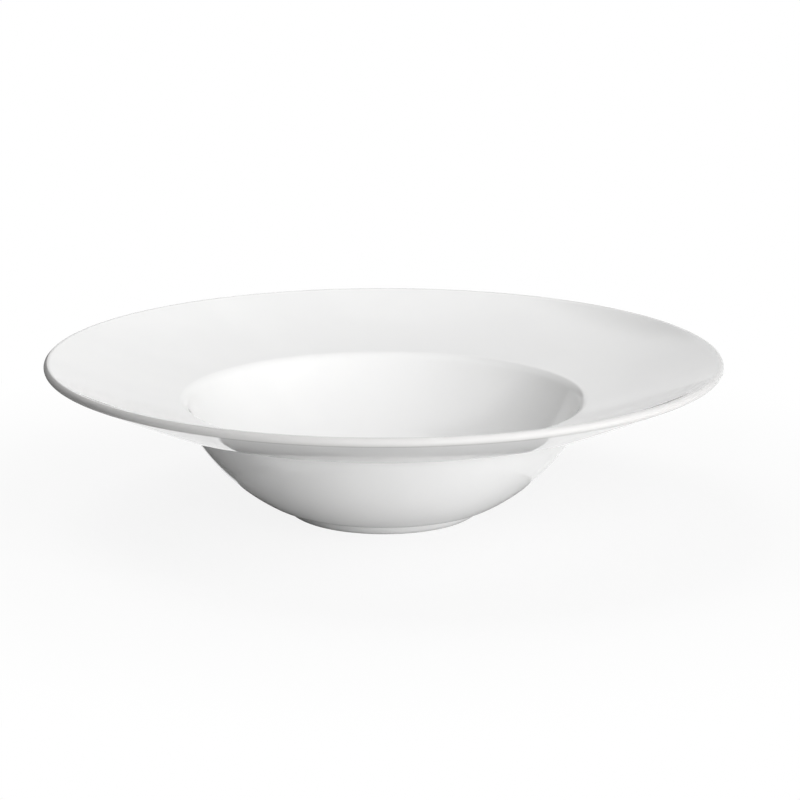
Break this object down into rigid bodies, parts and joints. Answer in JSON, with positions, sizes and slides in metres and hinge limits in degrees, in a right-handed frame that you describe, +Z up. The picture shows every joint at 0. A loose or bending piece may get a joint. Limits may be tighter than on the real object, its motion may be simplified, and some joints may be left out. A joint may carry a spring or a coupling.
{
  "type": "pasta bowl",
  "caption": "Round white porcelain pasta bowl with a wide upswept rim, a deep curved well and a low foot ring whose seat is bare of glaze.",
  "frame": {"origin": "centre of the circle on which the bowl stands, on the table", "axes": "+Z up along the bowl's axis of symmetry; X and Y are alike"},
  "size_m": [0.28, 0.28, 0.0664],
  "materials": {
    "glaze": "clear white gloss",
    "porcelain": "bare, fine matt"
  },
  "bodies": {
    "root": {"rim": "porcelain", "well_wall": "porcelain", "well_floor": "porcelain", "foot_ring": "porcelain", "glaze_coat": "glaze", "recess_glaze": "glaze"}
  },
  "joints": []
}
